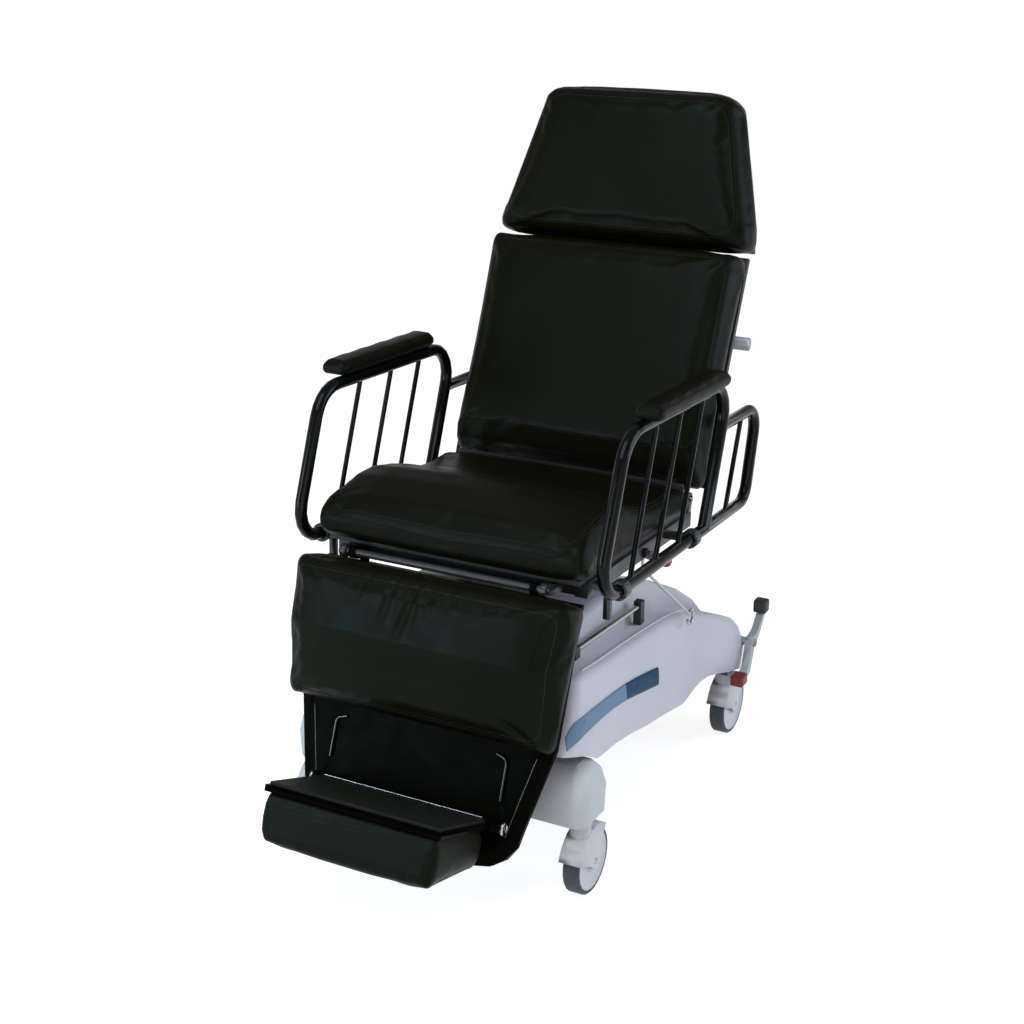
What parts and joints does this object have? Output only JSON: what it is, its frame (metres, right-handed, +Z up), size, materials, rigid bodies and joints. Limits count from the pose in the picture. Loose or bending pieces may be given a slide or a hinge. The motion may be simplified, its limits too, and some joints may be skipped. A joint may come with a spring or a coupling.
{
  "type": "stretcher chair",
  "caption": "Wheeled hospital chair that lifts, reclines flat and raises its leg rest, with tubular swing-down arms, a moulded base and braked casters.",
  "frame": {"origin": "on the floor under the middle of the chair's bounding box", "axes": "+X the occupant's left, -Y the way the chair faces, +Z up"},
  "size_m": [0.718, 1.2818, 1.3766],
  "materials": {
    "vinyl": "black upholstery vinyl, satin",
    "gloss_black": "gloss black paint",
    "frame_black": "satin black paint",
    "shell_white": "cool white moulding, satin",
    "column_white": "cool white paint",
    "cover_white": "light grey moulding, satin",
    "handle_white": "light grey paint",
    "tyre": "slate rubber",
    "bright_steel": "bright plated steel",
    "lever_grey": "grey paint",
    "red": "red rubber",
    "black_rubber": "black rubber",
    "board": "black sheet, matt"
  },
  "bodies": {
    "base": {"base_frame": "frame_black", "base_shell": "shell_white", "front_cover": "cover_white", "accessory_pole": "bright_steel", "pole_clip_front": "black_rubber", "pole_clip_rear": "black_rubber", "column_outer": "column_white", "lift_cylinder": "frame_black"},
    "brake": {"brake_shaft": "bright_steel", "brake_lever_left": "lever_grey", "brake_lever_right": "lever_grey", "brake_pad_black_left": "black_rubber", "brake_pad_black_right": "black_rubber", "brake_pad_red_left": "red", "brake_pad_red_right": "red"},
    "seat": {"column_inner": "column_white", "lift_rod": "bright_steel", "seat_frame": "frame_black", "seat_pan": "board", "seat_cushion": "vinyl", "knee_pin": "frame_black", "hip_pin": "bright_steel", "bag_hook": "bright_steel"},
    "arm_left": {"arm_rail_left": "gloss_black", "arm_pad_left": "vinyl"},
    "arm_right": {"arm_rail_right": "gloss_black", "arm_pad_right": "vinyl"},
    "lever": {"release_lever": "frame_black", "release_knob": "red"},
    "back": {"back_frame": "frame_black", "back_board": "board", "back_cushion": "vinyl", "push_handle": "handle_white", "neck_pin": "bright_steel"},
    "head": {"head_board": "board", "head_cushion": "vinyl"},
    "leg": {"leg_panel": "gloss_black", "leg_cushion": "vinyl", "foot_pin": "bright_steel"},
    "foot": {"footrest_tray": "gloss_black", "footrest_mat": "black_rubber", "footrest_pad": "vinyl"},
    "strut_cylinder": {"gas_strut_cylinder": "frame_black"},
    "strut_rod": {"gas_strut_rod": "bright_steel"},
    "caster_front_left": {"caster_hood_front_left": "cover_white", "caster_axle_front_left": "bright_steel"},
    "wheel_front_left": {"caster_hub_front_left": "cover_white", "caster_tyre_front_left": "tyre"},
    "caster_front_right": {"caster_hood_front_right": "cover_white", "caster_axle_front_right": "bright_steel"},
    "wheel_front_right": {"caster_hub_front_right": "cover_white", "caster_tyre_front_right": "tyre"},
    "caster_rear_left": {"caster_hood_rear_left": "cover_white", "caster_axle_rear_left": "bright_steel"},
    "wheel_rear_left": {"caster_hub_rear_left": "cover_white", "caster_tyre_rear_left": "tyre"},
    "caster_rear_right": {"caster_hood_rear_right": "cover_white", "caster_axle_rear_right": "bright_steel"},
    "wheel_rear_right": {"caster_hub_rear_right": "cover_white", "caster_tyre_rear_right": "tyre"}
  },
  "joints": [
    {"name": "lift_slide", "type": "slide", "parent": "base", "child": "seat", "axis": [0, 0, 1], "range_m": [0, 0.22]},
    {"name": "brake_rock", "type": "hinge", "parent": "base", "child": "brake", "pos_m": [0, 0.46883, 0.22043], "axis": [-1, 0, 0], "range_deg": [0, 24]},
    {"name": "arm_left_swing", "type": "hinge", "parent": "seat", "child": "arm_left", "pos_m": [0.317, -0.02217, 0.57743], "axis": [0, 0.999, -0.0436], "range_deg": [0, 150]},
    {"name": "arm_right_swing", "type": "hinge", "parent": "seat", "child": "arm_right", "pos_m": [-0.317, -0.02217, 0.57743], "axis": [0, -0.999, 0.0436], "range_deg": [0, 150]},
    {"name": "release_lift", "type": "hinge", "parent": "seat", "child": "lever", "pos_m": [0, 0.03243, 0.56704], "axis": [1, 0, 0], "range_deg": [0, 20], "stiffness_Nm_per_rad": 0.6, "springref_deg": -17.19},
    {"name": "back_recline", "type": "hinge", "parent": "seat", "child": "back", "pos_m": [0, 0.27608, 0.59945], "axis": [-1, 0, 0], "range_deg": [0, 65]},
    {"name": "head_tilt", "type": "hinge", "parent": "back", "child": "head", "pos_m": [0, 0.52827, 1.03949], "axis": [-1, 0, 0], "range_deg": [0, 15]},
    {"name": "leg_raise", "type": "hinge", "parent": "seat", "child": "leg", "pos_m": [0, -0.28365, 0.59486], "axis": [-1, 0, 0], "range_deg": [0, 75]},
    {"name": "foot_fold", "type": "hinge", "parent": "leg", "child": "foot", "pos_m": [0, -0.4262, 0.18598], "axis": [-1, 0, 0], "range_deg": [0, 60]},
    {"name": "strut_swing", "type": "hinge", "parent": "seat", "child": "strut_cylinder", "pos_m": [0, 0.13107, 0.53183], "axis": [-1, 0, 0], "range_deg": [-1, 33.5]},
    {"name": "strut_rod_swing", "type": "hinge", "parent": "back", "child": "strut_rod", "pos_m": [0, 0.41464, 0.51945], "axis": [-1, 0, 0], "range_deg": [-33.5, 1]},
    {"name": "swivel_front_left", "type": "hinge", "parent": "base", "child": "caster_front_left", "pos_m": [0.291, -0.29017, 0.15583], "axis": [0, 0, 1], "continuous": true},
    {"name": "roll_front_left", "type": "hinge", "parent": "caster_front_left", "child": "wheel_front_left", "pos_m": [0.291, -0.26816, 0.06563], "axis": [1, 0, 0], "continuous": true},
    {"name": "swivel_front_right", "type": "hinge", "parent": "base", "child": "caster_front_right", "pos_m": [-0.291, -0.29017, 0.15583], "axis": [0, 0, 1], "continuous": true},
    {"name": "roll_front_right", "type": "hinge", "parent": "caster_front_right", "child": "wheel_front_right", "pos_m": [-0.291, -0.26816, 0.06563], "axis": [1, 0, 0], "continuous": true},
    {"name": "swivel_rear_left", "type": "hinge", "parent": "base", "child": "caster_rear_left", "pos_m": [0.291, 0.44034, 0.15583], "axis": [0, 0, 1], "continuous": true},
    {"name": "roll_rear_left", "type": "hinge", "parent": "caster_rear_left", "child": "wheel_rear_left", "pos_m": [0.291, 0.46234, 0.06563], "axis": [1, 0, 0], "continuous": true},
    {"name": "swivel_rear_right", "type": "hinge", "parent": "base", "child": "caster_rear_right", "pos_m": [-0.291, 0.44034, 0.15583], "axis": [0, 0, 1], "continuous": true},
    {"name": "roll_rear_right", "type": "hinge", "parent": "caster_rear_right", "child": "wheel_rear_right", "pos_m": [-0.291, 0.46234, 0.06563], "axis": [1, 0, 0], "continuous": true}
  ],
  "couplings": [
    {"joint": "strut_swing", "follows": "back_recline", "ratio": 0.5},
    {"joint": "strut_rod_swing", "follows": "back_recline", "ratio": -0.5}
  ]
}
